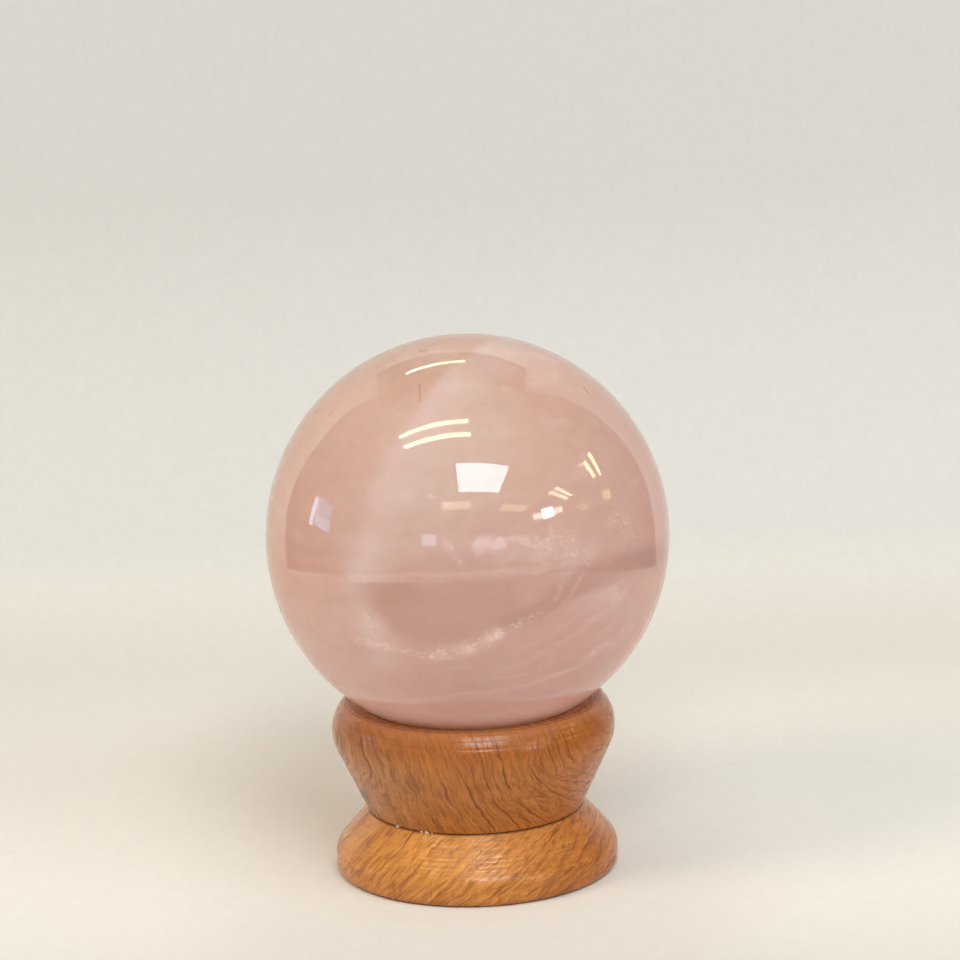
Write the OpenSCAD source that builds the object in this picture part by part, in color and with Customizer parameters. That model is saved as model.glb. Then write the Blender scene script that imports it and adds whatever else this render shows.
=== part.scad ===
// Polished rose quartz sphere on a two-piece turned wooden stand.
// The sphere rests by its own weight in the dish of the cup, and the cup is glued onto the base.
// Millimetres. +Z is up, and the origin is the middle of the stand's underside.

/* [Sphere] */
// Diameter of the quartz sphere
sphere_d = 64; // [50:0.5:80]
// Clearance between the sphere and the dish that is turned to its curve
seat_gap = 0.05; // [0.02:0.01:0.3]

/* [Stand] */
// Diameter of the round stock that both pieces are turned from, and so the widest of each
stand_d = 45.3; // [42:0.1:56]
// Diameter of both pieces at the glued joint
waist_d = 34.6; // [28:0.1:38]
// Radius of the eased edges on both sides of the glued joint
joint_ease = 0.25; // [0.1:0.05:0.6]

/* [Base] */
// Height of the corner where the upright band meets the cone, before it is rounded
band_h = 4.2; // [3:0.1:6]
// Radius of the round between the band and the cone
shoulder_round = 3; // [1:0.1:4]
// Radius of the base's lower edge
base_edge = 1.5; // [0.5:0.1:2]
// Height of the base, up to the glued joint
base_h = 10.4; // [8:0.1:16]

/* [Cup] */
// Height of the widest place above the glued joint
rim_rise = 12.9; // [11:0.1:20]
// Radius of the rim's round outer side
rim_round = 6.4; // [5.5:0.1:8]
// Radius of the crest, where the round side turns into the lip
crest_round = 0.5; // [0.2:0.05:0.8]

/* [Dish] */
// Width of the wood from the widest place in to the dish
lip_w = 5.3; // [4.5:0.1:6.5]
// Height of the dish's edge above the widest place
dish_rise = 4.2; // [3.5:0.1:4.6]
// Slope of the lip, from the dish's edge up to the crest, in degrees
lip_slope = 13; // [5:1:18]
// Diameter of the relief in the middle of the dish
relief_d = 18; // [10:0.5:26]
// Depth of the relief below the sphere
relief_drop = 1.5; // [0.5:0.1:4]

/* [Hidden] */
$fn = 128;
// Straight steps in each arc of a turned outline
arc_steps = 16;

rim_z = base_h + rim_rise;
rim_centre = [stand_d / 2 - rim_round, rim_z];
dish_r = stand_d / 2 - lip_w;
dish_z = rim_z + dish_rise;
sphere_z = dish_z + sqrt(pow(sphere_d / 2 + seat_gap, 2) - dish_r * dish_r);

// Outlines are lists of [radius, height], taken up the outside and back to the axis.
function unit(v) = v / norm(v);
function heading(from, to) = atan2(to[1] - from[1], to[0] - from[0]);
function arc(centre, r, a0, a1) =
    [for (i = [0:arc_steps]) let (a = a0 + (a1 - a0) * i / arc_steps) centre + r * [cos(a), sin(a)]];

// The arc of radius r that rounds an outward corner p, coming from a and going on to b
function eased(a, p, b, r) =
    let (u = unit(a - p), v = unit(b - p), half = acos(u * v) / 2)
    let (centre = p + unit(u + v) * r / sin(half), start = heading(centre, p + u * r / tan(half)))
    arc(centre, r, start, start + 180 - 2 * half);

// The place where a straight line from p touches the right side of a circle
function touch(p, centre, r) =
    let (turn = heading(p, centre) - asin(r / norm(centre - p)))
    centre + r * [sin(turn), -cos(turn)];

// The middle of the crest's arc, which touches the rim's round from inside and the lip from below
lip_way = [cos(lip_slope), sin(lip_slope)];
crest_from = [dish_r, dish_z] + crest_round * [lip_way[1], -lip_way[0]] - rim_centre;
crest_along = -crest_from * lip_way
    + sqrt(pow(crest_from * lip_way, 2) - crest_from * crest_from + pow(rim_round - crest_round, 2));
crest_centre = rim_centre + crest_from + crest_along * lip_way;

module quartz_sphere() {
    color("#dcb0a4")
    translate([0, 0, sphere_z])
    sphere(d = sphere_d);
}

module stand_cup() {
    waist = [waist_d / 2, base_h];
    rim_low = touch(waist, rim_centre, rim_round);
    rim_top = heading(rim_centre, crest_centre);
    color("#b07040")
    difference() {
        rotate_extrude()
        polygon(concat(
            [[0, base_h]],
            eased([0, base_h], waist, rim_low, joint_ease),
            arc(rim_centre, rim_round, heading(rim_centre, rim_low), rim_top),
            arc(crest_centre, crest_round, rim_top, 90 + lip_slope),
            [[dish_r, dish_z], [0, dish_z]]
        ));
        translate([0, 0, sphere_z])
        sphere(r = sphere_d / 2 + seat_gap);
        translate([0, 0, sphere_z - sphere_d / 2 - relief_drop])
        cylinder(d = relief_d, h = sphere_d / 2);
    }
}

module stand_base() {
    waist = [waist_d / 2, base_h];
    base = [stand_d / 2, 0];
    shoulder = [stand_d / 2, band_h];
    color("#d08a4c")
    rotate_extrude()
    polygon(concat(
        [[0, 0]],
        eased([0, 0], base, shoulder, base_edge),
        eased(base, shoulder, waist, shoulder_round),
        eased(shoulder, waist, [0, base_h], joint_ease),
        [[0, base_h]]
    ));
}

quartz_sphere();
stand_cup();
stand_base();
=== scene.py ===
# %% [markdown]
# # A rose quartz sphere on its turned wooden stand
# A polished sphere of rose quartz rests in a small stand made of two turned pieces of wood: a
# flared cup, glued onto a spreading base. The imported CAD model fixes every size. This notebook
# dresses it: the stone gets its veils, clouds and small flaws, and each wood gets its own grain,
# pores and lathe marks. Then come the floor, the light and the camera.
#
# The CAD model is loaded first, and its nodes' boxes give the sizes of the pieces.

# %% Load the imported model
from math import acos, asin, atan2, cos, pi, radians, sin, sqrt, tan

import bpy
import numpy as np
from mathutils import Matrix, Vector


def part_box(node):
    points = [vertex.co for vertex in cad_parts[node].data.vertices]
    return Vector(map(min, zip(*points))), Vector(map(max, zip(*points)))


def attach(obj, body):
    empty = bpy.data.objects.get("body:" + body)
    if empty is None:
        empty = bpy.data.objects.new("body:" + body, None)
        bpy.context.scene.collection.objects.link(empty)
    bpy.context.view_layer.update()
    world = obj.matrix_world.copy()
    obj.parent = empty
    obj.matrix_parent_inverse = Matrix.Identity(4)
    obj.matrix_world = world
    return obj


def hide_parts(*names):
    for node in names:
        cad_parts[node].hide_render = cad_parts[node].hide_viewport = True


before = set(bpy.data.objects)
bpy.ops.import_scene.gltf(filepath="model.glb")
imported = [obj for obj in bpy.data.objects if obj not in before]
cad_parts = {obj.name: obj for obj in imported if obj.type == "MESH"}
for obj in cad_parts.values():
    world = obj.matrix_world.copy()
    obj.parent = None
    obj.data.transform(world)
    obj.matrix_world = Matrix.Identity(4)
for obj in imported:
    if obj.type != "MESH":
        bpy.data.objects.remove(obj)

MM = 0.001
scene = bpy.context.scene
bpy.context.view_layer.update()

# %% [markdown]
# ## The sizes
# The CAD nodes say how large each piece is and where it lies. The radii and widths that a box
# can't tell, such as the round of the rim, are the ones that the turned outlines were drawn with.
# All of them are in millimetres here, because a turner thinks in millimetres.

# %% Read the sizes from the CAD nodes
ball_low, ball_high = (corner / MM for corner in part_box("quartz_sphere"))

STONE_R = (ball_high.z - ball_low.z) / 2
STONE_Z = (ball_high.z + ball_low.z) / 2
JOINT_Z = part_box("stand_base")[1].z / MM
STAND_R = 22.65
WAIST_R = 17.3
JOINT_EASE = 0.25
RIM_Z = JOINT_Z + 12.9
RIM_ROUND = 6.4
CREST_ROUND = 0.5
DISH_R = STAND_R - 5.3
DISH_Z = RIM_Z + 4.2
LIP_SLOPE = radians(13)
RELIEF_R = 9.0
RELIEF_DROP = 1.5
SEAT_GAP = 0.05
BAND_H = 4.2
SHOULDER_ROUND = 3.0
BASE_EDGE = 1.5
print(f"sphere radius {STONE_R:.2f}, centre at {STONE_Z:.2f}, glued joint at {JOINT_Z:.2f}")

# %% [markdown]
# ## Meshes from whole arrays
# Every shape below is worked out as a numpy grid of points, and only the finished arrays go to
# Blender. One helper takes points and faces, hides the CAD node that the piece stands for, and
# names the body and the material slot.

# %% A helper that makes a piece from arrays
def make_mesh(name, points, faces):
    """Puts points (in metres) and lists of corner numbers into a new smooth mesh object."""
    mesh = bpy.data.meshes.new(name)
    mesh.from_pydata(points.tolist(), [], faces)
    mesh.polygons.foreach_set("use_smooth", np.ones(len(mesh.polygons), bool))
    mesh.update()
    piece = bpy.data.objects.new(name, mesh)
    scene.collection.objects.link(piece)
    return piece


def dress(piece, material, node):
    """Gives a piece its material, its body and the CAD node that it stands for."""
    piece.data.materials.append(material)
    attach(piece, "root")
    if node:
        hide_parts(node)
    corners = np.array([v.co for v in piece.data.vertices])
    print(piece.name, "faces", len(piece.data.polygons),
          "box in mm", (corners.min(0) / MM).round(2), (corners.max(0) / MM).round(2))

# %% [markdown]
# ## Node trees in few lines
# Materials here are long chains of small sums. Wiring each node by hand would hide the idea, so
# a little wrapper adds a node, links its inputs and hands back the output socket. With it, a
# material reads like a formula.

# %% A wrapper around a node tree
class Wiring:
    """Adds nodes to a tree. An input may be a number, a tuple or another node's output."""

    def __init__(self, tree):
        self.tree = tree
        self.count = 0

    def node(self, kind, inputs=None, out=0, **settings):
        node = self.tree.nodes.new(kind)
        node.location = (220 * (self.count % 8), -260 * (self.count // 8))
        self.count += 1
        for key, value in settings.items():
            setattr(node, key, value)
        self.fill(node, inputs or {})
        return node if out is None else node.outputs[out]

    def fill(self, node, inputs):
        """Links the sockets among the inputs, and sets the plain values on the node itself."""
        for key, value in inputs.items():
            socket = node.inputs[key]
            if isinstance(value, bpy.types.NodeSocket):
                self.tree.links.new(value, socket)
            elif socket.type == "RGBA" and len(value) == 3:
                socket.default_value = (*value, 1.0)
            else:
                socket.default_value = value

    def math(self, operation, a, b=0.0, c=0.0, clamp=False):
        return self.node("ShaderNodeMath", {0: a, 1: b, 2: c}, operation=operation, use_clamp=clamp)

    def vector(self, operation, a, b=(0, 0, 0), c=(0, 0, 0)):
        out = "Value" if operation in ("LENGTH", "DISTANCE", "DOT_PRODUCT") else "Vector"
        return self.node("ShaderNodeVectorMath", {0: a, 1: b, 2: c}, out, operation=operation)

    def scaled(self, a, factor):
        return self.node("ShaderNodeVectorMath", {0: a, "Scale": factor}, operation="SCALE")

    def times(self, a, b):
        return self.math("MULTIPLY", a, b)

    def noise(self, vector, scale, detail=3.0, roughness=0.5, out="Fac"):
        return self.node("ShaderNodeTexNoise", {
            "Vector": vector, "Scale": scale, "Detail": detail, "Roughness": roughness}, out)

    def remap(self, value, low, high, to_low=0.0, to_high=1.0, smooth=True):
        return self.node("ShaderNodeMapRange", {
            "Value": value, "From Min": low, "From Max": high, "To Min": to_low, "To Max": to_high},
            interpolation_type="SMOOTHSTEP" if smooth else "LINEAR", clamp=True)

    def mix(self, factor, a, b, blend="MIX"):
        return self.node("ShaderNodeMix", {0: factor, 6: a, 7: b}, 2, data_type="RGBA", blend_type=blend)

    def tinted(self, colour, tint):
        """One colour times another."""
        return self.mix(1.0, colour, tint, "MULTIPLY")

    def shaded(self, colour, value):
        """A colour times one value in all its channels."""
        return self.tinted(colour, self.node("ShaderNodeCombineColor", {0: value, 1: value, 2: value}))

    def ramp(self, value, stops):
        """A colour ramp. Stops are (place, colour) pairs."""
        node = self.node("ShaderNodeValToRGB", {"Fac": value}, None)
        ramp = node.color_ramp
        while len(ramp.elements) < len(stops):
            ramp.elements.new(0.5)
        for element, (place, colour) in zip(ramp.elements, stops):
            element.position = place
            element.color = (*colour, 1.0)
        return node.outputs["Color"]

    def splits(self, vector):
        node = self.node("ShaderNodeSeparateXYZ", {0: vector}, None)
        return node.outputs[0], node.outputs[1], node.outputs[2]


def new_group(name, inputs, outputs):
    """A shader node group. Inputs are (name, kind, value) and outputs are (name, kind). Returns
    its wiring, the sockets that bring its inputs, and the node that takes its results."""
    tree = bpy.data.node_groups.new(name, "ShaderNodeTree")
    for label, kind, value in inputs:
        socket = tree.interface.new_socket(label, in_out="INPUT", socket_type="NodeSocket" + kind)
        if value is not None:
            socket.default_value = value
    for label, kind in outputs:
        tree.interface.new_socket(label, in_out="OUTPUT", socket_type="NodeSocket" + kind)
    wiring = Wiring(tree)
    given = wiring.node("NodeGroupInput", out=None).outputs
    return wiring, given, wiring.node("NodeGroupOutput", out=None)


def new_material(name):
    """A material with an empty Principled BSDF, and its wiring."""
    material = bpy.data.materials.new(name)
    material.use_nodes = True
    wiring = Wiring(material.node_tree)
    return material, wiring, material.node_tree.nodes["Principled BSDF"]

# %% [markdown]
# ## The stone's shape
# The sphere is ground and polished true, to a few hundredths of a millimetre. A sphere with
# meridians crowds its faces at two poles, and a polished surface shows that as a pinched
# highlight. So the sphere is a cube blown up: six square patches, with their grid lines spaced by
# equal angles, pushed out to the radius. The largest face is only 1.4 times the smallest.

# %% The blown-up cube
def blown_cube(centre_z, radius, cells):
    """The points of patch (u, v), both running from -45 to 45 degrees, are the directions
    (1, tan u, tan v), turned to each side of the cube in turn and scaled to the radius."""
    side = np.tan(np.linspace(-np.pi / 4, np.pi / 4, cells + 1))
    u, v = np.meshgrid(side, side, indexing="ij")
    one = np.ones_like(u)
    sides = [(one, u, v), (-one, -u, v), (-u, one, v), (u, -one, v), (-v, u, one), (v, u, -one)]
    rays = np.stack([np.stack(s, -1) for s in sides]).reshape(-1, 3)
    rays /= np.linalg.norm(rays, axis=1, keepdims=True)
    number = np.arange((cells + 1) ** 2).reshape(cells + 1, cells + 1)
    patch = np.stack([number[:-1, :-1], number[1:, :-1], number[1:, 1:], number[:-1, 1:]], -1)
    faces = np.concatenate([patch.reshape(-1, 4) + i * number.size for i in range(6)])
    _, first, same = np.unique(rays.round(6), axis=0, return_index=True, return_inverse=True)
    points = rays[first] * radius + (0, 0, centre_z)
    return points * MM, same.reshape(-1)[faces].tolist()


STONE_CELLS = 96
stone = make_mesh("polished_sphere", *blown_cube(STONE_Z, STONE_R, STONE_CELLS))
print("sphere:", len(stone.data.vertices), "points")

# %% [markdown]
# ## The stand's outlines
# Both pieces are turned between centres, so each is one outline carried round the axis. The
# outlines repeat the CAD's: straight flares, arcs that touch them, and eased corners. What the
# CAD leaves out is the turner's hand. A gouge leaves low waves and a few scored lines, and they
# are cut into the outline here, a few hundredths of a millimetre deep.

# %% Pieces of an outline
def arc(centre, radius, start, end, step=0.25):
    """Points on a circle from one angle to another (radians), about one step apart."""
    count = max(3, int(abs(end - start) * radius / step))
    t = np.linspace(start, end, count + 1)
    return np.stack([centre[0] + radius * np.cos(t), centre[1] + radius * np.sin(t)], -1)


def heading(a, b):
    """The angle of the way from a to b."""
    return atan2(b[1] - a[1], b[0] - a[0])


def eased(before, corner, after, radius):
    """The arc of that radius that rounds an outward corner."""
    before, corner, after = (np.array(p, float) for p in (before, corner, after))
    u = (before - corner) / np.linalg.norm(before - corner)
    v = (after - corner) / np.linalg.norm(after - corner)
    half = acos(u @ v) / 2
    centre = corner + (u + v) / np.linalg.norm(u + v) * radius / sin(half)
    start = heading(centre, corner + u * radius / tan(half))
    return arc(centre, radius, start, start + pi - 2 * half, step=radius / 6)


def filled(outline, step):
    """The same outline with points added along its long straight stretches."""
    parts = []
    for a, b in zip(outline[:-1], outline[1:]):
        count = max(1, int(np.linalg.norm(b - a) / step))
        parts.append(a + (b - a) * (np.arange(count) / count)[:, None])
    return np.concatenate(parts + [outline[-1:]])


def turned(outline, turns):
    """Carries an outline round the axis. Point (r, z) at angle t goes to (r cos t, r sin t, z).
    The outline starts and ends on the axis, and one point closes it at each end."""
    r, z = outline[1:-1].T
    t = np.linspace(0, 2 * np.pi, turns, endpoint=False)
    ring = np.stack([np.outer(r, np.cos(t)), np.outer(r, np.sin(t)),
                     np.repeat(z[:, None], turns, 1)], -1).reshape(-1, 3)
    points = np.concatenate([ring, [[0, 0, outline[0][1]], [0, 0, outline[-1][1]]]])
    low, high = len(ring), len(ring) + 1
    grid = np.arange(len(ring)).reshape(-1, turns)
    ahead = np.roll(grid, -1, axis=1)
    walls = np.stack([grid[:-1], ahead[:-1], ahead[1:], grid[1:]], -1).reshape(-1, 4).tolist()
    bottom = [[low, b, a] for a, b in zip(grid[0], ahead[0])]
    top = [[high, a, b] for a, b in zip(grid[-1], ahead[-1])]
    return points * MM, walls + bottom + top

# %% The turner's waves and scored lines
def scored(outline, lines, wave):
    """Moves the outline's points inwards along its normal. The waves are three sines of the way
    along the outline, and each line (place on the way, depth, half width) is a narrow dip. Both
    fade out at the axis."""
    way = np.concatenate([[0], np.cumsum(np.linalg.norm(np.diff(outline, axis=0), axis=1))])
    along = np.gradient(outline, axis=0)
    along /= np.linalg.norm(along, axis=1, keepdims=True) + 1e-9
    inward = np.stack([-along[:, 1], along[:, 0]], -1)
    waves = [(2.3, 0, 0.5), (4.9, 1, 0.3), (8.3, 2, 0.2)]
    dip = wave * (1 + sum(high * np.sin(way * pace + shift) for pace, shift, high in waves))
    for place, depth, half_width in lines:
        dip = dip + depth * np.exp(-((way - place) / half_width) ** 2)
    dip = dip * np.clip(outline[:, 0] / 0.6, 0, 1)
    return outline + inward * dip[:, None]

# %% [markdown]
# ### The cup
# Up from the glued joint the cup flares out in a straight line, turns over in a thick round rim,
# and falls gently from a narrow crest to the dish. The dish is turned to the sphere's own curve,
# with a shallow relief in the middle, so that the sphere sits on a ring of wood.

# %% Turn the cup
def cup_outline():
    """The cup's outline from the axis at the joint, up the outside and back to the axis."""
    waist = np.array([WAIST_R, JOINT_Z])
    rim = np.array([STAND_R - RIM_ROUND, RIM_Z])
    reach = np.linalg.norm(waist - rim)
    turn = heading(waist, rim) - asin(RIM_ROUND / reach)
    rim_low = rim + RIM_ROUND * np.array([sin(turn), -cos(turn)])
    lip = np.array([cos(LIP_SLOPE), sin(LIP_SLOPE)])
    start = np.array([DISH_R, DISH_Z]) + CREST_ROUND * np.array([lip[1], -lip[0]]) - rim
    back = -start @ lip
    along = back + sqrt(back ** 2 - start @ start + (RIM_ROUND - CREST_ROUND) ** 2)
    crest = rim + start + along * lip
    turn_over = heading(rim, crest)
    seat_r = STONE_R + SEAT_GAP
    seat = (0.0, STONE_Z)
    dish = arc(seat, seat_r, -acos(DISH_R / seat_r), -acos(RELIEF_R / seat_r), 0.8)
    relief_z = STONE_Z - STONE_R - RELIEF_DROP
    outside = np.concatenate([
        eased((0, JOINT_Z), waist, rim_low, JOINT_EASE),
        arc(rim, RIM_ROUND, heading(rim, rim_low), turn_over, 0.2),
        arc(crest, CREST_ROUND, turn_over, pi / 2 + LIP_SLOPE, 0.08)])
    inside = np.concatenate([dish, [[RELIEF_R, relief_z], [0, relief_z]]])
    return outside, inside


TURNS = 320
WAVE = 0.012
# each: way along the outline, depth, half width
CUP_LINES = [
    (16.6, 0.05, 0.14), (18.1, 0.06, 0.12), (19.2, 0.03, 0.1), (21.6, 0.03, 0.15), (9.3, 0.02, 0.15)]
outside, inside = cup_outline()
outside = filled(np.concatenate([outside, inside[:1]]), 0.2)
cup_shape = np.concatenate([
    filled(np.array([[0, JOINT_Z], [WAIST_R - 1, JOINT_Z]]), 2.5),
    scored(outside, CUP_LINES, WAVE), filled(inside[1:], 1.5)])
cup = make_mesh("turned_cup", *turned(cup_shape, TURNS))
print("cup:", len(cup.data.polygons), "faces")

# %% [markdown]
# ### The base
# The base is a low cone over an upright band, with a soft shoulder between them. Its underside
# is flat, and its lower edge is broken so that it doesn't chip.

# %% Turn the base
def base_outline():
    """The base's outline from the axis underneath, up the outside to the joint and back."""
    foot, shoulder, waist = (STAND_R, 0.0), (STAND_R, BAND_H), (WAIST_R, JOINT_Z)
    return np.concatenate([
        eased((0, 0), foot, shoulder, BASE_EDGE),
        eased(foot, shoulder, waist, SHOULDER_ROUND),
        eased(shoulder, waist, (0, JOINT_Z), JOINT_EASE)])


BASE_LINES = [
    (2, 0.02, 0.12), (7.4, 0.04, 0.13), (8.3, 0.05, 0.11), (9.1, 0.03, 0.1), (10.4, 0.02, 0.12)]
base_shape = np.concatenate([
    filled(np.array([[0, 0.0], [STAND_R - BASE_EDGE - 0.5, 0.0]]), 1.5),
    scored(filled(base_outline(), 0.15), BASE_LINES, WAVE),
    filled(np.array([[WAIST_R - 1, JOINT_Z], [0, JOINT_Z]]), 2.5)])
base = make_mesh("turned_base", *turned(base_shape, TURNS))
print("base:", len(base.data.polygons), "faces")

# %% [markdown]
# ## A streak inside the stone
# Rose quartz is never clear. Healed cracks run through it as pale sheets, and where a sheet
# comes near the polished surface it shows as a soft curved band. On a sphere, a flat sheet cuts
# the surface in a circle. So one streak is a band beside a circle, faded out away from its
# middle. This group makes one from a direction V (the unit vector from the sphere's centre):
# it is 1 where V . Axis = Offset, falls to 0 at Width, and ends at Reach from Middle.

# %% The streak group
def streak_group():
    """Band beside the plane V . Axis = Offset, times a fade around Middle."""
    w, given, result = new_group("stone_streak", [
        ("Vector", "Vector", None), ("Axis", "Vector", (0, 0, 1)), ("Offset", "Float", 0.0),
        ("Width", "Float", 0.05), ("Back Width", "Float", 0.05),
        ("Middle", "Vector", (0, -1, 0)), ("Reach", "Float", 0.5)], [("Mask", "Float")])
    side = w.vector("DOT_PRODUCT", given["Vector"], given["Axis"])
    off = w.math("SUBTRACT", side, given["Offset"])
    ahead = w.math("DIVIDE", off, given["Width"])
    astern = w.math("DIVIDE", w.times(off, -1), given["Back Width"])
    band = w.remap(w.math("MAXIMUM", ahead, astern), 0, 1, 1, 0)
    far = w.vector("DISTANCE", given["Vector"], given["Middle"])
    fade = w.remap(w.math("DIVIDE", far, given["Reach"]), 0.7, 1, 1, 0)
    w.fill(result, {"Mask": w.times(band, fade)})
    return w.tree


STREAK = streak_group()


def toward(azimuth, elevation):
    """The unit vector at an azimuth from the front (positive to the right) and an elevation."""
    a, e = radians(azimuth), radians(elevation)
    return np.array([sin(a) * cos(e), -cos(a) * cos(e), sin(e)])


def band_node(w, vector, across, edge, width, middle, reach):
    """The streak group, beside the plane that passes edge and stands square to across."""
    right, left = width if isinstance(width, tuple) else (width, width)
    axis = across / np.linalg.norm(across)
    return w.node("ShaderNodeGroup", {
        "Vector": vector, "Axis": tuple(axis), "Offset": float(axis @ edge), "Width": right,
        "Back Width": left, "Middle": tuple(middle), "Reach": float(reach)}, node_tree=STREAK)


def streak(w, vector, start, middle, end, width):
    """A streak that runs through three directions, each (azimuth, elevation) in degrees. A pair
    of widths makes it wider on one side: for a streak that runs down, the right side is first."""
    a, b, c = toward(*start), toward(*middle), toward(*end)
    reach = max(np.linalg.norm(a - b), np.linalg.norm(c - b)) * 1.1
    return band_node(w, vector, np.cross(b - a, c - a), a, width, b, reach)


def all_streaks(w, vector, streaks):
    """Several streaks in one mask. Each is (start, middle, end, width, strength)."""
    total = 0.0
    for start, middle, end, width, strength in streaks:
        total = w.math("MULTIPLY_ADD", streak(w, vector, start, middle, end, width), strength, total)
    return total

# %% [markdown]
# ## Rose quartz
# The stone is milky: light goes in a little way and comes out pink. A glass shader would make it
# clear, so it is a Principled BSDF with a high gloss over a coloured body that lets some light
# through. All that makes it stone and not plastic is in the colour: a peach upper half and a
# mauve lower half, one large veil on the left, wisps and clouds, a crescent of bright flecks
# below the middle, and a few dark specks near the top. The lower half is also painted lighter,
# brightest where the stone sits in the cup: painted light, for light that comes through the stone.

# %% The stone's directions, with a little turbulence
quartz, w, shader = new_material("rose_quartz")
place = w.node("ShaderNodeTexCoord", out="Object")
ray = w.node("ShaderNodeMapping", {
    "Vector": place, "Location": (0, 0, -STONE_Z / STONE_R), "Scale": (1 / STONE_R / MM,) * 3})
stir = w.vector("SUBTRACT", w.noise(ray, 2.6, 4, 0.6, out="Color"), (0.5, 0.5, 0.5))
stirred = w.vector("ADD", ray, w.scaled(stir, 0.1))
fine_stir = w.vector("SUBTRACT", w.noise(ray, 16, 4, 0.65, out="Color"), (0.5, 0.5, 0.5))
frayed = w.vector("ADD", stirred, w.scaled(fine_stir, 0.035))

# %% Peach above, mauve below, painted lighter toward the bottom
height = w.splits(stirred)[2]
# the low stops are painted light: lighter toward the bottom, near white where the stone sits in the cup
body = w.ramp(w.math("MULTIPLY_ADD", height, 0.5, 0.5), [
    (0.06, (1.0, 0.74, 0.62)), (0.1, (1.0, 0.72, 0.62)), (0.135, (0.84, 0.525, 0.465)),
    (0.2, (0.71, 0.42, 0.388)), (0.28, (0.655, 0.4, 0.365)), (0.35, (0.63, 0.39, 0.35)),
    (0.45, (0.612, 0.38, 0.333)), (0.6, (0.61, 0.388, 0.325)), (0.75, (0.6, 0.388, 0.312)),
    (0.9, (0.59, 0.37, 0.289)), (1.0, (0.575, 0.35, 0.264))])

# %% Clouds: broad soft patches of tint
# each: azimuth, elevation, radius, tint, strength
CLOUDS = [
    (72, 24, 0.75, (0.622, 0.352, 0.285), 0.7), (80, 0, 0.75, (0.622, 0.346, 0.288), 0.9),
    (80, 55, 0.6, (0.618, 0.358, 0.28), 0.8), (-80, 5, 0.7, (0.665, 0.398, 0.318), 0.9),
    (-14, 24, 0.62, (0.605, 0.435, 0.38), 0.9), (8, 46, 0.5, (0.592, 0.416, 0.345), 0.8),
    (38, 30, 0.55, (0.596, 0.365, 0.297), 0.7), (-45, -22, 0.6, (0.68, 0.442, 0.402), 0.9),
    (38, -24, 0.6, (0.6, 0.346, 0.306), 0.9), (84, -32, 0.6, (0.655, 0.34, 0.278), 0.9),
    (-68, 38, 0.6, (0.645, 0.408, 0.318), 0.8), (-42, 30, 0.4, (0.615, 0.395, 0.325), 0.9),
    (2, 4, 0.5, (0.57, 0.358, 0.31), 0.6), (-60, 4, 0.4, (0.655, 0.4, 0.325), 0.8),
    (42, 50, 0.45, (0.575, 0.338, 0.262), 0.8), (-30, 64, 0.4, (0.595, 0.375, 0.288), 0.8),
    (0, -32, 0.45, (0.61, 0.376, 0.34), 0.8), (150, -30, 0.7, (0.67, 0.43, 0.39), 0.8),
    (180, 35, 0.7, (0.615, 0.425, 0.353), 0.7), (-130, 10, 0.7, (0.595, 0.365, 0.315), 0.8),
    (120, 50, 0.6, (0.61, 0.38, 0.295), 0.7), (-110, -30, 0.6, (0.69, 0.41, 0.362), 0.7),
    (130, 0, 0.6, (0.625, 0.372, 0.32), 0.7)]
for azimuth, elevation, radius, tint, strength in CLOUDS:
    far = w.vector("DISTANCE", stirred, tuple(toward(azimuth, elevation)))
    body = w.mix(w.remap(far, 0, radius, strength, 0), body, tint)

# %% Layers, and a fine mottle
layered = w.node("ShaderNodeMapping", {
    "Vector": frayed, "Rotation": (0.1, 0.12, 0.0), "Scale": (1.0, 1.0, 4.0)})
layers = w.noise(layered, 2.6, 7, 0.66)
body = w.mix(w.remap(layers, 0.52, 0.72, 0, 0.3), body, (0.715, 0.5, 0.455))
body = w.mix(w.remap(layers, 0.48, 0.3, 0, 0.3), body, (0.57, 0.335, 0.28))
mottle = w.remap(w.noise(frayed, 11, 5, 0.72), 0.25, 0.75, 0.955, 1.045, smooth=False)
body = w.shaded(body, mottle)

# %% The large veil, lines, dark lenses and white lobes
# each: start, middle, end, width (or the widths of its two sides), strength
VEILS = [
    ((26, 76), (-20, 44), (-35, -6), (0.26, 0.075), 0.52),
    ((-34, 10), (-31, -8), (-27, -28), (0.2, 0.13), 0.66), ((-40, 8), (0, 10), (32, 4), (0.1, 0.05), 0.2),
    ((30, -6), (44, -11), (60, -18), (0.1, 0.1), 0.15),
    ((30, -2), (38, -4), (47, -8), (0.02, 0.07), 0.35),
    ((150, 62), (164, 10), (178, -38), (0.24, 0.05), 0.6),
    ((95, 38), (112, 0), (138, -32), (0.14, 0.03), 0.5),
    ((-150, 28), (-128, -5), (-98, -26), (0.05, 0.16), 0.5)]
BROWNS = [
    ((-66, -1), (-50, 1), (-34, 0), 0.025, 0.6), ((-70, 6), (-50, 6), (-34, 8), 0.05, 0.4),
    ((-48, 27), (-40, 33), (-30, 38), 0.1, 0.35), ((-48, -8), (-40, -6), (-33, -4), 0.04, 0.3),
    ((0, 6), (16, 5.5), (32, 5), 0.02, 0.45), ((-125, 12), (-102, 5), (-80, 0), 0.04, 0.5)]
DARKS = [
    ((-36, -1), (-4, 1), (28, 3), (0.014, 0.19), 0.58),
    ((-20, -10), (-5, -14), (18, -7), (0.22, 0.05), 0.62), ((8, -12), (24, -7), (38, 1), 0.07, 0.6),
    ((18, -8), (47, 0), (78, -7), (0.085, 0.08), 1.2), ((118, 8), (148, 3), (178, 9), (0.015, 0.24), 0.9),
    ((-172, -12), (-140, -5), (-108, -14), (0.05, 0.1), 0.7)]
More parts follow.
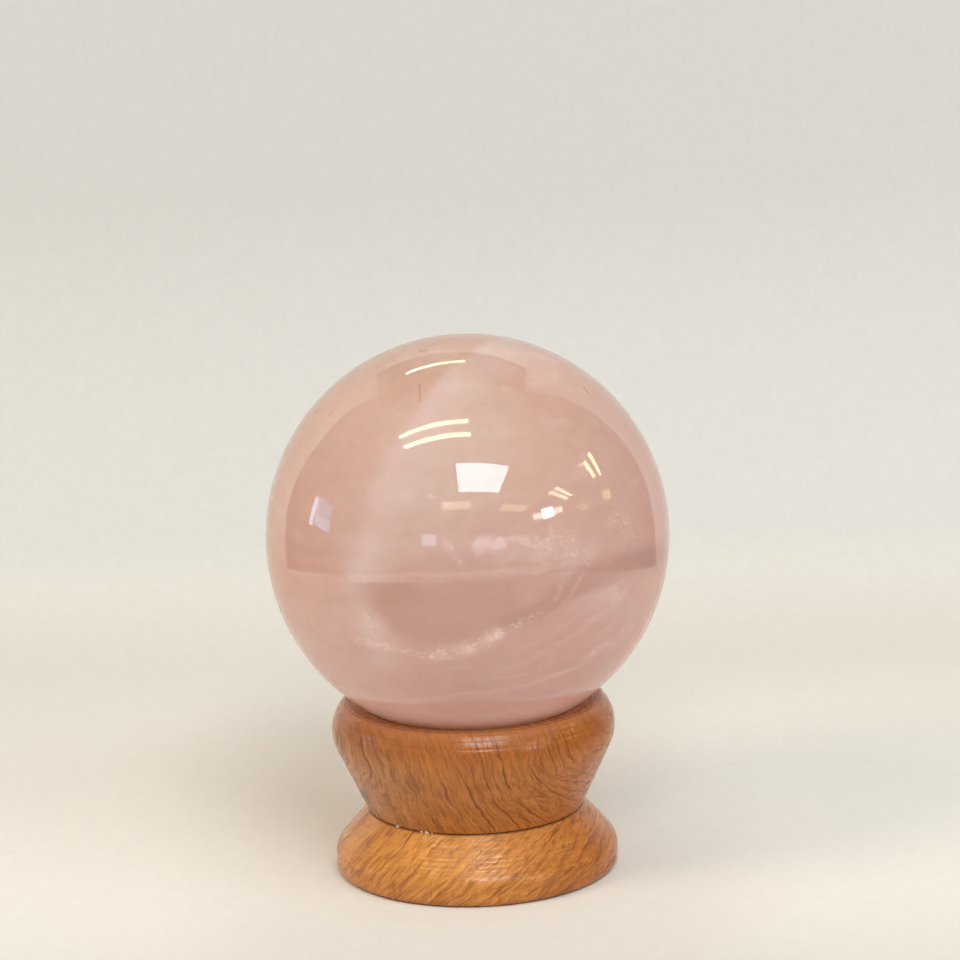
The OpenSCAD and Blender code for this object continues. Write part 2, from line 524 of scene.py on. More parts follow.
LOBES = [
    ((1, 9.5), (6, 10.2), (11, 10), (0.03, 0.028), 0.9),
    ((8, 9.8), (13, 10.4), (18, 10), (0.02, 0.018), 0.55), ((14, 9.3), (19, 9.2), (24, 8.6), 0.01, 0.5),
    ((-160, 26), (-152, 27), (-144, 24), (0.03, 0.02), 0.8)]
LINES = [
    ((16, -24), (30, -18), (52, -7), (0.03, 0.04), 0.18),
    ((-35, -41), (0, -36), (42, -29), (0.016, 0.026), 0.45), ((5, -30), (12, -29), (17, -28), 0.011, 0.4),
    ((-34, 1.5), (-6, 3), (25, 5), 0.016, 0.18), ((12, -20), (26, -15), (40, -8), (0.03, 0.02), 0.13),
    ((20, -28), (34, -22), (46, -16), (0.02, 0.03), 0.1), ((20, -11), (28, -6), (34, 0), 0.012, 0.22),
    ((22, 62), (50, 70), (75, 64), (0.03, 0.05), 0.3),
    ((100, -30), (130, -36), (165, -34), (0.014, 0.022), 0.55),
    ((-95, 22), (-120, 28), (-150, 24), 0.014, 0.4)]
broken = w.remap(layers, 0.25, 0.7, 0.65, 1.2)
for streaks, tint in (
        (VEILS, (0.674, 0.502, 0.465)), (BROWNS, (0.59, 0.357, 0.288)), (DARKS, (0.53, 0.303, 0.258)),
        (LOBES, (0.72, 0.53, 0.51)), (LINES, (0.76, 0.5, 0.46))):
    mask = w.times(all_streaks(w, frayed, streaks), broken)
    body = w.mix(w.math("MINIMUM", mask, 1), body, tint)

# %% Flecks: small bright crumbs of healed cracks
FLECKS = [
    ((-36, -17), (-24, -19.5), (-10, -20), 0.04, 1), ((-14, -20.5), (-2, -19), (10, -14), 0.04, 1),
    ((3, -17), (12, -12), (21, -8.5), 0.026, 0.9), ((-26, -8), (-27, -14), (-22, -19), 0.026, 0.7),
    ((19, 8), (28, 8), (38, 4), 0.055, 0.42), ((22, 10.4), (28, 11), (33, 9), 0.03, 0.42),
    ((-7, 13), (-4, 9), (-2, 6), 0.035, 0.6), ((-10, 25), (-8, 24), (-4, 22), 0.018, 0.8),
    ((28, 2), (26, -2), (24, -6), 0.035, 0.32), ((44, 14), (50, 10), (56, 4), 0.06, 0.45),
    ((36, -28), (48, -24), (58, -22), 0.05, 0.4), ((138, -2), (157, -16), (178, -18), 0.05, 0.9),
    ((-120, -12), (-100, -20), (-82, -22), 0.04, 0.8), ((85, 28), (98, 18), (112, 14), 0.045, 0.7)]
crumb_space = w.node("ShaderNodeMapping", {"Vector": frayed, "Scale": (1, 1, 1.7)})
crumbs = w.remap(w.noise(crumb_space, 34, 6, 0.78), 0.5, 0.62)
milk = w.remap(w.noise(frayed, 8, 4, 0.6), 0.38, 0.68, 0, 0.45)
soft_crumbs = w.math("MULTIPLY_ADD", crumbs, 0.75, milk)
flecks = w.times(all_streaks(w, frayed, FLECKS), soft_crumbs)
body = w.mix(w.math("MINIMUM", w.times(flecks, 0.8), 0.8), body, (0.86, 0.67, 0.62))

# %% Specks and hairlines near the surface
def hairline(w, vector, start, end, width):
    """A short straight mark between two directions, in a plane through the sphere's centre."""
    a, b = toward(*start), toward(*end)
    middle = (a + b) / np.linalg.norm(a + b)
    return band_node(w, vector, np.cross(a, b), a, width, middle, np.linalg.norm(a - b) * 0.6)


# each: start, end, half width, strength
HAIRLINES = [
    ((-52, 74.6), (-44, 76.4), 0.012, 0.7), ((-24.5, 60), (-20, 53), 0.006, 0.5),
    ((-79.5, 42), (-77, 44), 0.01, 0.6), ((-80, 38), (-78, 36.5), 0.008, 0.4),
    ((66.5, 48.6), (68.5, 51.2), 0.009, 0.7), ((-65, 43.6), (-63.4, 45.4), 0.006, 0.4),
    ((120, 50), (124, 52), 0.006, 0.5), ((-140, 30), (-141.5, 34), 0.005, 0.5),
    ((168, -38), (172, -40), 0.006, 0.5), ((-100, 20), (-101, 23), 0.005, 0.4)]
near_skin = w.vector("ADD", ray, w.scaled(fine_stir, 0.01))
specks = 0.0
for start, end, width, strength in HAIRLINES:
    specks = w.math("MULTIPLY_ADD", hairline(w, near_skin, start, end, width), strength, specks)
body = w.mix(w.math("MINIMUM", specks, 0.8), body, (0.3, 0.15, 0.09))

# %% Gloss and depth
w.fill(shader, {
    "Base Color": body, "Roughness": 0.03, "IOR": 1.54, "Subsurface Weight": 1.0,
    "Subsurface Radius": (1.0, 0.85, 0.75), "Subsurface Scale": 0.02})
dress(stone, quartz, "quartz_sphere")

# %% [markdown]
# ## Wood as a solid
# A turned piece cuts through the layers of the tree, so its pattern is a slice through a solid.
# The solid is simple: curved layers round an axis along Y, each layer pale at first and dark at
# its end. Fibres and open pores run along the layers, so their noise is laid out in bent
# coordinates: one number across the layers, two that go round the axis, and the depth. Each
# material moves and turns the piece into these coordinates (in millimetres) and picks its
# colours, so both woods share one group.

# %% The wood group
def wood_group():
    """Layer number = distance from the axis / Spacing, with noise. Streaks and pores are noise
    of (distance, Along cos t, Along sin t, depth), so they run long with the layers."""
    w, given, result = new_group("turned_wood", [
        ("Vector", "Vector", None), ("Pale", "Color", (0.6, 0.3, 0.1, 1)),
        ("Dark", "Color", (0.3, 0.1, 0.03, 1)), ("Pore", "Color", (0.15, 0.05, 0.015, 1)),
        ("Spacing", "Float", 2.3), ("Waver", "Float", 1.0), ("Along", "Float", 7.0)],
        [("Color", "Color"), ("Roughness", "Float"), ("Height", "Float")])
    solid = given["Vector"]
    bend = w.times(w.math("SUBTRACT", w.noise(solid, 0.05, 2, 0.5), 0.5), 9)
    long_way = w.vector("MULTIPLY", solid, (1, 0.35, 1))
    shake = w.times(w.math("SUBTRACT", w.noise(long_way, 0.32, 3, 0.5), 0.5), 1.7)
    x, y, z = w.splits(solid)
    square = w.math("ADD", w.math("POWER", x, 2), w.math("POWER", z, 2))
    radius = w.math("MAXIMUM", w.math("SQRT", square), 0.01)
    bent = w.math("ADD", radius, w.times(w.math("ADD", bend, shake), given["Waver"]))
    round_x = w.times(w.math("DIVIDE", x, radius), given["Along"])
    round_z = w.times(w.math("DIVIDE", z, radius), given["Along"])

    def grain(across, around, depth, detail, roughness):
        """Noise laid out along the layers. Larger numbers make it finer in that direction."""
        spot = w.node("ShaderNodeCombineXYZ", {
            0: w.times(bent, across), 1: w.times(round_x, around), 2: w.times(round_z, around)})
        return w.node("ShaderNodeTexNoise", {
            "Vector": spot, "W": w.times(y, depth), "Scale": 1, "Detail": detail,
            "Roughness": roughness}, "Fac", noise_dimensions="4D")

    ring = w.math("DIVIDE", bent, given["Spacing"])
    part = w.math("FRACT", ring)
    late = w.times(w.remap(part, 0.7, 0.94), w.remap(part, 1, 0.95))
    good_year = w.node(
        "ShaderNodeTexWhiteNoise", {"W": w.math("FLOOR", ring)}, "Value", noise_dimensions="1D")
    late = w.times(late, w.remap(good_year, 0.2, 0.8, 0.15, 1.2))
    streaks = grain(2.0, 1.0, 0.25, 4.0, 0.62)
    late = w.times(late, w.remap(streaks, 0.34, 0.48, 0.55, 1))
    late = w.times(late, w.remap(w.noise(solid, 0.13, 2), 0.38, 0.58, 0.3, 1.1))
    dark = w.math("MULTIPLY_ADD", w.remap(streaks, 0.46, 0.66), 0.45, late, clamp=True)
    fine = grain(3.6, 1.5, 0.9, 2.0, 0.6)
    pores = w.times(w.remap(fine, 0.52, 0.64), w.remap(part, 0.9, 0.2, 0.4, 1))
    colour = w.mix(dark, given["Pale"], given["Dark"])
    colour = w.mix(w.times(pores, 0.6), colour, given["Pore"])
    light = w.tinted(given["Pale"], (1.45, 1.5, 1.8))
    colour = w.mix(w.remap(fine, 0.48, 0.34, 0, 0.38), colour, light)
    rough = w.math("MULTIPLY_ADD", pores, 0.12, w.remap(streaks, 0.35, 0.65, 0.16, 0.3))
    relief = w.math("MULTIPLY_ADD", streaks, -0.5, w.times(pores, -0.6))
    w.fill(result, {"Color": colour, "Roughness": rough, "Height": relief})
    return w.tree


def lathe_group():
    """Fine scored lines round the axis: noise of one number, the height plus a part of the
    radius, faded in and out around the piece. The vector is in millimetres."""
    w, given, result = new_group("lathe_marks", [("Vector", "Vector", None), ("Pitch", "Float", 2.2)],
                                 [("Height", "Float"), ("Groove Tone", "Float")])
    x, y, z = w.splits(given["Vector"])
    radius = w.math("SQRT", w.math("ADD", w.math("POWER", x, 2), w.math("POWER", y, 2)))
    along = w.math("MULTIPLY_ADD", radius, 0.9, w.times(z, 1.1))
    lines = w.node("ShaderNodeTexNoise", {
        "W": along, "Scale": given["Pitch"], "Detail": 3.0, "Roughness": 0.7}, "Fac", noise_dimensions="1D")
    patch = w.remap(w.noise(given["Vector"], 0.12, 2), 0.35, 0.65, 0.3, 1)
    w.fill(result, {
        "Height": w.times(lines, patch), "Groove Tone": w.times(w.remap(lines, 0.42, 0.3), patch)})
    return w.tree


WOOD = wood_group()
LATHE = lathe_group()
MARK_DEPTH = 0.06  # of pores and scored lines, in mm
LATHE_SHARE = 1.6  # how much stronger the lathe's lines are than the grain
WAX_IOR = 1.44


def wood_material(name, pith, tilt, pale, dark, pore, spacing, waver, along, joint_shade):
    """A satin wood. pith is a point (x, y, z) in mm that the layers' axis passes, and tilt turns
    it. Returns the material, its wiring, shader, colour and place, so that more can be added."""
    material, w, shader = new_material(name)
    place = w.scaled(w.node("ShaderNodeTexCoord", out="Object"), 1 / MM)
    moved = w.vector("SUBTRACT", place, pith)
    solid = w.node("ShaderNodeMapping", {"Vector": moved, "Rotation": tilt})
    wood = w.node("ShaderNodeGroup", {
        "Vector": solid, "Pale": pale, "Dark": dark, "Pore": pore, "Spacing": spacing,
        "Waver": waver, "Along": along}, None, node_tree=WOOD)
    lathe = w.node("ShaderNodeGroup", {"Vector": place}, None, node_tree=LATHE)
    # darker where the scored lines are low
    colour = w.mix(w.times(lathe.outputs["Groove Tone"], 0.3), wood.outputs["Color"], dark)
    # painted shade: a dark band along the glued joint, where its groove lies in shade
    from_joint = w.math("ABSOLUTE", w.math("SUBTRACT", w.splits(place)[2], JOINT_Z))
    painted_joint_shade = w.remap(from_joint, 0.08, 0.32, joint_shade, 0)
    colour = w.mix(painted_joint_shade, colour, (0.09, 0.025, 0.008))
    relief = w.math("MULTIPLY_ADD", lathe.outputs["Height"], LATHE_SHARE, wood.outputs["Height"])
    bump = w.node("ShaderNodeBump", {
        "Height": relief, "Strength": 0.7, "Distance": MARK_DEPTH * MM}, "Normal")
    w.fill(shader, {"Roughness": wood.outputs["Roughness"], "Normal": bump, "IOR": WAX_IOR})
    return material, w, shader, colour, place

# %% [markdown]
# ## The cup's wood
# The cup is a warm reddish brown with open pores. Its layers lean steeply down to the right and
# curl round a centre high on the right. Its left side is painted greyer, a painted sheen, and it is
# deeper on the right, and the round of the rim is redder and calmer. The top of the rim and the
# lip close to the stone are painted lighter, as painted light for light that goes through the stone.

# %% Dress the cup
cup_wood, w, shader, colour, place = wood_material(
    "cup_wood", pith=(19.5, 0, 27.5), tilt=(radians(8), 0, radians(-12)),
    pale=(0.48, 0.163, 0.032), dark=(0.2, 0.05, 0.008), pore=(0.2, 0.055, 0.01),
    spacing=1.5, waver=0.75, along=5.0, joint_shade=0.85)
x, y, z = w.splits(place)
deeper = w.tinted(colour, (1, 0.8, 0.16))
# painted sheen: the left side is greyed and lightened in the colour
sheen_greyed_left = w.tinted(colour, (1, 1.2, 1.9))
colour = w.mix(w.remap(x, -4, -16), w.mix(w.remap(x, 2, 18, 0, 0.6), colour, deeper), sheen_greyed_left)
redder = w.mix(0.4, w.tinted(colour, (0.84, 0.68, 0.58)), (0.31, 0.085, 0.014))
colour = w.mix(w.remap(z, 20.5, 25, 0, 0.75), colour, redder)
# painted light: the top of the rim is lightened, for light that comes through the stone
lit = w.mix(0.5, colour, (0.58, 0.22, 0.09))
colour = w.mix(w.remap(z, 26.4, 27.6, 0, 0.65), colour, lit)
# painted light: a glow on the lip just round the stone
off_axis = w.vector("LENGTH", w.vector("MULTIPLY", place, (1, 1, 0)))
painted_glow_by_stone = w.times(w.remap(off_axis, 19.6, 18), w.remap(z, 26, 27))
w.fill(shader, {"Base Color": w.mix(painted_glow_by_stone, colour, (0.9, 0.46, 0.27))})
dress(cup, cup_wood, "stand_cup")

# %% [markdown]
# ## The base's wood
# The base is a lighter, more orange wood. Its layers are nearly straight and rise to the right,
# because their axis was far away, low on the right. It darkens to the right, where the streaks
# are strong too, and its upright band shows the ends of the pores as short ticks.

# %% Dress the base
base_wood, w, shader, colour, place = wood_material(
    "base_wood", pith=(52, 0, -46), tilt=(radians(-10), 0, radians(14)),
    pale=(0.64, 0.25, 0.05), dark=(0.3, 0.08, 0.012), pore=(0.23, 0.056, 0.009),
    spacing=1.25, waver=0.5, along=13.0, joint_shade=0.7)
x, y, z = w.splits(place)
# darker toward the right, and a little at the foot
darker_right_and_foot = w.tinted(colour, (0.7, 0.4, 0.08))
foot = w.remap(z, 4.4, 2.4)
colour = w.mix(w.math("MAXIMUM", w.remap(x, -2, 20, 0, 0.62), w.times(foot, 0.1)), colour, darker_right_and_foot)

# dark streaks that rise to the right: the noise is long along RISE and short across it
RISE, ACROSS = (0.8, 0.0, 0.6), (-0.6, 0.0, 0.8)
slant = w.node("ShaderNodeCombineXYZ", {
    0: w.times(w.vector("DOT_PRODUCT", place, RISE), 0.12),
    1: w.times(y, 0.2), 2: w.vector("DOT_PRODUCT", place, ACROSS)})
streaky = w.remap(w.noise(slant, 0.95, 5, 0.66), 0.47, 0.63)
where = w.math("ADD", w.remap(x, -4, 16, 0.18, 0.6), w.times(foot, 0.1))
colour = w.mix(w.times(streaky, where), colour, (0.235, 0.066, 0.01))

# short upright ticks on the band at the foot
upright = w.noise(w.vector("MULTIPLY", place, (1, 1, 0.12)), 1.7, 3, 0.6)
ticks = w.times(w.remap(upright, 0.52, 0.66, 0, 0.5), foot)
w.fill(shader, {"Base Color": w.mix(ticks, colour, (0.3, 0.085, 0.014))})
dress(base, base_wood, "stand_base")

# %% [markdown]
# ## Dried glue
# A little glue was squeezed out of the joint and left to dry, as pale crumbs at the front left.
# Each crumb is a small flattened ball with a lumpy skin, pushed half into the joint.

# %% Crumbs of glue on the joint
def glue_crumb(azimuth, size, seed, cells=8):
    """A blown-up cube stretched to size (along the joint, outwards, upwards), with its points
    pushed in and out by sines of their place."""
    points, faces = blown_cube(0.0, 1.0, cells)
    points = points / MM
    big, small = points @ (5.1, 3.7, 4.3) + seed, points @ (-7.3, 6.1, 8.9) + 2 * seed
    lump = 1 + 0.16 * np.sin(big) + 0.1 * np.sin(small)
    points = points * lump[:, None] * np.array(size) / 2
    a = radians(azimuth)
    along, out = np.array([cos(a), sin(a), 0]), np.array([sin(a), -cos(a), 0])
    spot = out * WAIST_R + (0, 0, JOINT_Z)
    placed = spot + points[:, :1] * along + points[:, 1:2] * out + points[:, 2:] * (0, 0, 1)
    # along, out and up make a left-handed set, so the faces are turned over to point outwards
    return placed * MM, [face[::-1] for face in faces]


# each: azimuth, size in mm, seed
CRUMBS = [
    (-46, (0.6, 0.35, 0.5), 1), (-30, (0.45, 0.3, 0.45), 2.3), (-27, (0.7, 0.35, 0.6), 4.1),
    (-24, (0.3, 0.25, 0.25), 3.2)]
glue_points, glue_faces, count = [], [], 0
for azimuth, size, seed in CRUMBS:
    points, faces = glue_crumb(azimuth, size, seed)
    glue_faces += [[i + count for i in face] for face in faces]
    glue_points.append(points)
    count += len(points)
glue = make_mesh("glue_crumbs", np.concatenate(glue_points), glue_faces)
glue_skin, w, shader = new_material("dried_glue")
place = w.scaled(w.node("ShaderNodeTexCoord", out="Object"), 1 / MM)
w.fill(shader, {
    "Base Color": w.mix(w.noise(place, 3), (0.52, 0.32, 0.2), (0.74, 0.55, 0.42)),
    "Roughness": w.remap(w.noise(place, 5), 0.3, 0.7, 0.3, 0.6)})
dress(glue, glue_skin, None)

# %% [markdown]
# ## The floor and the backdrop
# The object stands on pale cloth that runs up into a low backdrop. Both are one sheet here: flat,
# then a quarter round, then upright. It isn't part of the object. Some tricks live in its
# material, all of them for the stage only. The sheet lets camera rays through from behind, so it
# never hides the object, and it has a hole under the base, smaller than the base, so that the
# underside isn't black when it is seen from below. To glossy rays it looks narrower than it is,
# and brighter toward its sides and top, because a pale strip in a dim room is what gives a
# polished sphere its bright edge. And its colour drifts a little from the floor to the wall. On
# the floor, a painted pool of light lies round and behind the object and to its sides, and the
# front is painted darker, as painted shade.

# %% One sheet for floor and backdrop
def swept_sheet(half_width, front, wall_y, bend, wall_h):
    """A strip along x. Its section runs from the front along the floor, round a quarter circle
    of radius bend, and up the wall."""
    t = np.linspace(0, np.pi / 2, 25)
    round_part = np.stack([wall_y - bend + bend * np.sin(t), bend - bend * np.cos(t)], -1)
    section = np.concatenate([[[front, 0.0]], round_part, [[wall_y, wall_h]]])
    x = np.array([-half_width, half_width])
    points = np.stack([np.repeat(x[None, :], len(section), 0),
                       np.repeat(section[:, :1], 2, 1), np.repeat(section[:, 1:], 2, 1)], -1).reshape(-1, 3)
    n = np.arange(len(section) - 1) * 2
    return points, np.stack([n, n + 1, n + 3, n + 2], -1).tolist()


WALL_Y, WALL_BEND = 0.2, 0.08
sheet = make_mesh("backdrop", *swept_sheet(0.9, -1.6, WALL_Y, WALL_BEND, 0.6))
cloth, w, shader = new_material("pale_cloth")
place = w.node("ShaderNodeTexCoord", out="Object")
x, y, z = w.splits(place)
colour = w.ramp(w.remap(z, 0, 0.12, smooth=False), [
    (0.0, (0.752, 0.692, 0.618)), (0.07, (0.752, 0.705, 0.632)), (0.12, (0.708, 0.675, 0.63)),
    (0.3, (0.702, 0.668, 0.628)), (1.0, (0.675, 0.65, 0.63))])
# painted light: the floor is lightened round and behind the object, a painted pool of light
beside = w.vector("LENGTH", w.vector("MULTIPLY_ADD", place, (1 / 0.17, 1 / 0.09, 1 / 0.1), (0, -0.2, 0)))
uneven = w.remap(w.noise(place, 420, 3, 0.7), 0.25, 0.75, 0.975, 1.025, smooth=False)
shade = w.times(uneven, w.remap(beside, 0.3, 1, 1.07, 1))
# painted light: the floor is lightened beside the object, left and right
along_floor = w.times(w.remap(y, 0.14, 0.08), w.remap(y, -0.1, -0.03))
sides = w.times(w.remap(w.math("ABSOLUTE", x), 0.025, 0.055, 0, 0.075), along_floor)
colour = w.shaded(colour, w.math("MULTIPLY_ADD", shade, sides, shade))
# painted shade: the floor is darkened toward the front
colour = w.mix(w.remap(y, -0.02, -0.1), colour, w.tinted(colour, (0.905, 0.88, 0.85)))
path = w.node("ShaderNodeLightPath", out=None)


def clear_of(edge, soft=0.004):
    """1 where the way to an edge is above 0, and 0 past it."""
    return w.remap(edge, -soft, soft)


# what glossy rays see of the sheet: an oval pool on the floor, and behind it a V that opens toward
# the wall, with a slanting left edge and a top that climbs to the right and to both sides
POOL_MIDDLE, POOL_HALF = (-0.0225, -0.2), (0.2575, 0.4)
pool = w.vector("MULTIPLY_ADD", place, (1 / POOL_HALF[0], 1 / POOL_HALF[1], 0),
                (-POOL_MIDDLE[0] / POOL_HALF[0], -POOL_MIDDLE[1] / POOL_HALF[1], 0))
on_floor = clear_of(w.math("SUBTRACT", 1, w.vector("LENGTH", pool)), 0.012)
aside = w.math("ABSOLUTE", w.math("ADD", x, 0.028))
left_edge = w.remap(z, 0.19, 0.32, -0.312, -0.248)
rise = w.times(w.math("MAXIMUM", w.math("SUBTRACT", w.math("ABSOLUTE", x), 0.105), 0), 1.8)
top_edge = w.math("ADD", rise, w.math("MULTIPLY_ADD", x, 0.35, 0.2525))
on_wall = clear_of(w.math("ADD", w.math("SUBTRACT", y, w.times(aside, 0.75)), 0.0255))
for high, low in ((x, left_edge), (0.257, x), (top_edge, z)):
    on_wall = w.times(on_wall, clear_of(w.math("SUBTRACT", high, low)))
strip = w.math("MAXIMUM", on_floor, on_wall)
unseen = w.times(path.outputs["Is Glossy Ray"], w.math("SUBTRACT", 1, strip))
glow = w.math("MAXIMUM", w.remap(x, -0.14, -0.3, 0, 0.4), w.remap(x, 0.16, 0.27, 0, 0.3))
glow = w.math("MAXIMUM", glow, w.remap(z, 0.17, 0.26, 0, 0.36))
w.fill(shader, {
    "Base Color": colour, "Roughness": 1.0, "Specular IOR Level": 0.0,
    "Emission Color": (0.85, 1, 1), "Emission Strength": w.times(path.outputs["Is Glossy Ray"], glow)})
behind = w.times(w.node("ShaderNodeNewGeometry", out="Backfacing"), path.outputs["Is Camera Ray"])
clear = w.node("ShaderNodeBsdfTransparent")
HOLE_R = 0.021
off_axis = w.vector("LENGTH", w.vector("MULTIPLY", place, (1, 1, 0)))
under_base = w.times(w.remap(off_axis, HOLE_R + 0.0001, HOLE_R - 0.0001), w.math("LESS_THAN", z, 0.01))
gone = w.math("MAXIMUM", under_base, w.math("MAXIMUM", behind, unseen))
both = w.node("ShaderNodeMixShader", {0: gone, 1: shader.outputs[0], 2: clear})
w.fill(cloth.node_tree.nodes["Material Output"], {"Surface": both})
sheet.data.materials.append(cloth)
print("backdrop:", len(sheet.data.polygons), "faces")

# %% [markdown]
# ## The light
# The room has one large cool panel overhead at the front, a warmer light on the left and a
# window on the right, and the rest is soft. The sphere mirrors the room, so the room's lamps are
# drawn in the world, in the plane of the ceiling: a ray that goes up by 1 crosses it at
# (x / z, y / z). Only glossy rays see them. Rays that light the object meet an even, plain sky,
# and the camera sees a pale one.

# %% A rectangle on the ceiling
def ceiling_group():
    """1 inside a rectangle of the plane, with soft edges."""
    w, given, result = new_group("ceiling_lamp", [
        ("Plane", "Vector", None), ("Middle", "Vector", (0, 0, 0)), ("Half", "Vector", (1, 1, 1)),
        ("Soft", "Float", 0.02)], [("Mask", "Float")])
    away = w.vector("ABSOLUTE", w.vector("SUBTRACT", given["Plane"], given["Middle"]))
    x, y, _ = w.splits(w.vector("SUBTRACT", away, given["Half"]))
    outside = w.math("DIVIDE", w.math("MAXIMUM", x, y), given["Soft"])
    w.fill(result, {"Mask": w.remap(outside, 0, 1, 1, 0)})
    return w.tree


CEILING = ceiling_group()

# %% An upright rectangle, seen from the sphere
def low_patch(w, ray, azimuth, elevation, half_width, half_height, soft):
    """1 inside a small upright rectangle seen at that direction."""
    out = toward(azimuth, 0)
    side = np.array([-out[1], out[0], 0])
    across = w.math("ABSOLUTE", w.vector("DOT_PRODUCT", ray, tuple(side)))
    over = w.math("ABSOLUTE", w.math("SUBTRACT", w.splits(ray)[2], sin(radians(elevation))))
    ahead = w.math("GREATER_THAN", w.vector("DOT_PRODUCT", ray, tuple(out)), 0)
    within = w.times(w.remap(across, half_width, half_width + soft, 1, 0),
                     w.remap(over, half_height, half_height + soft, 1, 0))
    return w.times(within, ahead)

# %% The ceiling and its lamps
TUBE, OLD_TUBE, DIM_TUBE = (14, 15, 9), (15, 13, 6), (4, 3.3, 1.6)
FITTING = (1.3, 1.15, 0.75)
BOARD = (0.12, 0.1, 0.085)
# each: left and right, near and far edge (in ceiling heights), soft edge, colour
CEILING_LAMPS = [
    (-0.54, 0.46, 0.38, 1.6, 0.05, BOARD), (-0.6, 0.04, -0.33, -0.1, 0.02, FITTING),
    (-0.6, 0.025, -0.18, -0.143, 0.014, TUBE), (-0.595, 0.05, -0.341, -0.301, 0.016, TUBE),
    (-0.39, 0.007, 0.818, 0.868, 0.018, TUBE), (-0.45, 0.06, -1.82, -1.58, 0.06, (4, 3.8, 2.2)),
    (0.74, 1.3, -1.9, -1.66, 0.07, (3.2, 3.1, 1.8)), (1.64, 2.45, 0.22, 0.3, 0.02, OLD_TUBE),
    (1.66, 2.32, -0.01, 0.07, 0.02, OLD_TUBE), (1.58, 1.7, -0.12, -0.04, 0.03, DIM_TUBE),
    (1.54, 2.19, -0.91, -0.83, 0.02, (11, 9.5, 6.5)), (1.51, 2.2, -1.08, -0.98, 0.02, (10, 8.5, 6)),
    (3.4, 4.45, 0.04, 0.18, 0.08, DIM_TUBE), (3.6, 4.7, 0.28, 0.42, 0.08, DIM_TUBE),
    (3.05, 3.9, -1.12, -0.84, 0.12, (1.9, 1.6, 1.2))]

world = bpy.data.worlds.new("room")
world.use_nodes = True
scene.world = world
w = Wiring(world.node_tree)
ray = w.vector("NORMALIZE", w.node("ShaderNodeTexCoord", out="Generated"))
x, y, z = w.splits(ray)
up = w.math("MAXIMUM", z, 0.02)  # lower rays land far off
plane = w.node("ShaderNodeCombineXYZ", {0: w.math("DIVIDE", x, up), 1: w.math("DIVIDE", y, up)})
room = w.ramp(w.math("MULTIPLY_ADD", z, 0.5, 0.5), [
    (0.0, (0.24, 0.22, 0.2)), (0.5, (0.21, 0.2, 0.19)), (0.72, (0.25, 0.24, 0.23)),
    (0.9, (0.5, 0.49, 0.47)), (1.0, (0.62, 0.61, 0.59))])
for left, right, near, far, soft, colour in CEILING_LAMPS:
    mask = w.node("ShaderNodeGroup", {
        "Plane": plane, "Middle": ((left + right) / 2, (near + far) / 2, 0),
        "Half": ((right - left) / 2, (far - near) / 2, 1), "Soft": soft}, node_tree=CEILING)
    room = w.mix(mask, room, colour)

# %% Windows and a bright star, low in the room
LOW_PATCHES = [
    (-93, 11, 0.105, 0.06, 0.02, (0.8, 1.6, 2.7)), (-92, 6.3, 0.1, 0.03, 0.02, (1.5, 2.8, 4.5)),
    (-101, 8.3, 0.022, 0.085, 0.012, (3.4, 5.2, 7.6)), (-22, 10.8, 0.06, 0.042, 0.02, (2.5, 3.5, 4.2)),
    (49.5, 19, 0.15, 0.014, 0.02, (10, 9, 8.5)), (49.5, 19.4, 0.055, 0.036, 0.012, (18, 18, 18))]
for azimuth, elevation, half_width, half_height, soft, colour in LOW_PATCHES:
    mask = low_patch(w, ray, azimuth, elevation, half_width, half_height, soft)
    room = w.mix(mask, room, colour)

# %% Put the world together
path = w.node("ShaderNodeLightPath", out=None)
sky = w.mix(path.outputs["Is Camera Ray"], (0.455, 0.455, 0.445), (0.72, 0.7, 0.65))
sky = w.mix(path.outputs["Is Glossy Ray"], sky, room)
w.fill(world.node_tree.nodes["Background"], {"Color": sky, "Strength": 1})

# %% The lamps
STONE_CENTRE = Vector((0, 0, STONE_Z * MM))


def area_lamp(name, spot, target, size, colour, level, glossy=True):
    """A rectangular lamp. Its power gives the level (1 is full daylight) on a level floor:
    power = pi^2 * level * distance^2 / (cosine at the lamp * cosine at the floor)."""
    light = bpy.data.lights.new(name, "AREA")
    light.shape = "RECTANGLE"
    light.size, light.size_y = size
    spot, target = Vector(spot), Vector(target)
    way = STONE_CENTRE - spot
    facing = (target - spot).normalized()
    at_lamp, at_floor = facing.dot(way.normalized()), -way.normalized().z
    light.energy = pi ** 2 * level * way.length_squared / (at_lamp * at_floor)
    light.color = colour
    lamp = bpy.data.objects.new(name, light)
    lamp.location = spot
    lamp.rotation_euler = facing.to_track_quat("-Z", "Y").to_euler()
    lamp.visible_glossy = glossy
    scene.collection.objects.link(lamp)
    print(f"{name}: {light.energy:.2f} W")


def off_stone(azimuth, elevation, distance):
    return STONE_CENTRE + Vector(toward(azimuth, elevation)) * distance


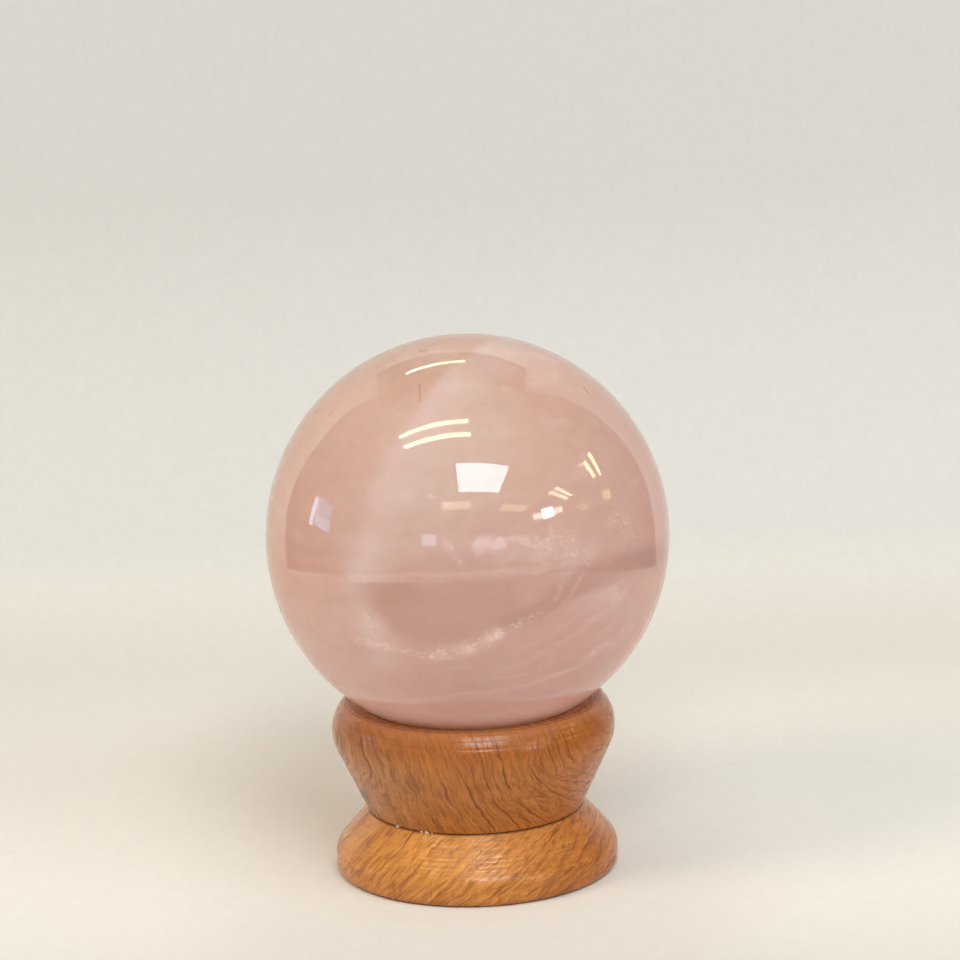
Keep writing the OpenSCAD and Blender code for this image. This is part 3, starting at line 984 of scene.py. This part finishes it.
PANEL_H = 0.9
panel_spot = STONE_CENTRE + Vector((0.205, -1.0125, 1.0)) * PANEL_H
area_lamp("ceiling_panel", panel_spot, panel_spot - Vector((0, 0, 1)),
          (0.625 * PANEL_H, 0.575 * PANEL_H), (0.78, 0.93, 1.0), 0.3)
area_lamp("right_window", off_stone(52, 36, 1.2), STONE_CENTRE, (0.6, 0.6), (0.86, 0.94, 1.0), 0.14, False)
area_lamp("warm_key", off_stone(-60, 42, 1.2), STONE_CENTRE, (0.42, 0.42), (1.0, 0.87, 0.7), 0.2, False)

# %% [markdown]
# ## The camera
# The view looks down about 14 degrees through a long lens from about 60 cm, and the camera is
# held nearly two degrees off level. It is placed by a small sum: first the direction that has
# to fall in the middle of the picture, then the roll about it.

# %% Place the camera
VIEW_DISTANCE, VIEW_DOWN, VIEW_ROLL = 0.6, radians(13.67), radians(1.8)
LENS, SENSOR = 142.0, 36.0
STONE_IN_PICTURE = (-0.013, -0.0577)  # where the sphere's centre falls, in widths from the middle


def place_camera():
    """Turns the camera so that the sphere's centre falls where it should, then rolls it."""
    camera = bpy.data.objects.new("camera", bpy.data.cameras.new("camera"))
    camera.data.lens, camera.data.sensor_width = LENS, SENSOR
    camera.data.clip_start = 0.01
    spot = STONE_CENTRE + Vector((0, -cos(VIEW_DOWN), sin(VIEW_DOWN))) * VIEW_DISTANCE
    ahead = (STONE_CENTRE - spot).normalized()
    level = ahead.cross(Vector((0, 0, 1))).normalized()
    upright = level.cross(ahead)
    right = cos(VIEW_ROLL) * level - sin(VIEW_ROLL) * upright
    top = sin(VIEW_ROLL) * level + cos(VIEW_ROLL) * upright
    x, y = (c * SENSOR / LENS for c in STONE_IN_PICTURE)
    middle = (ahead - x * right - y * top).normalized()
    right = (right - right.dot(middle) * middle).normalized()
    top = right.cross(middle)
    camera.matrix_world = Matrix.Translation(spot) @ Matrix((right, top, -middle)).transposed().to_4x4()
    scene.collection.objects.link(camera)
    scene.camera = camera
    return camera


camera = place_camera()
scene.view_settings.view_transform = "Standard"
print("camera at", [round(c, 4) for c in camera.location])
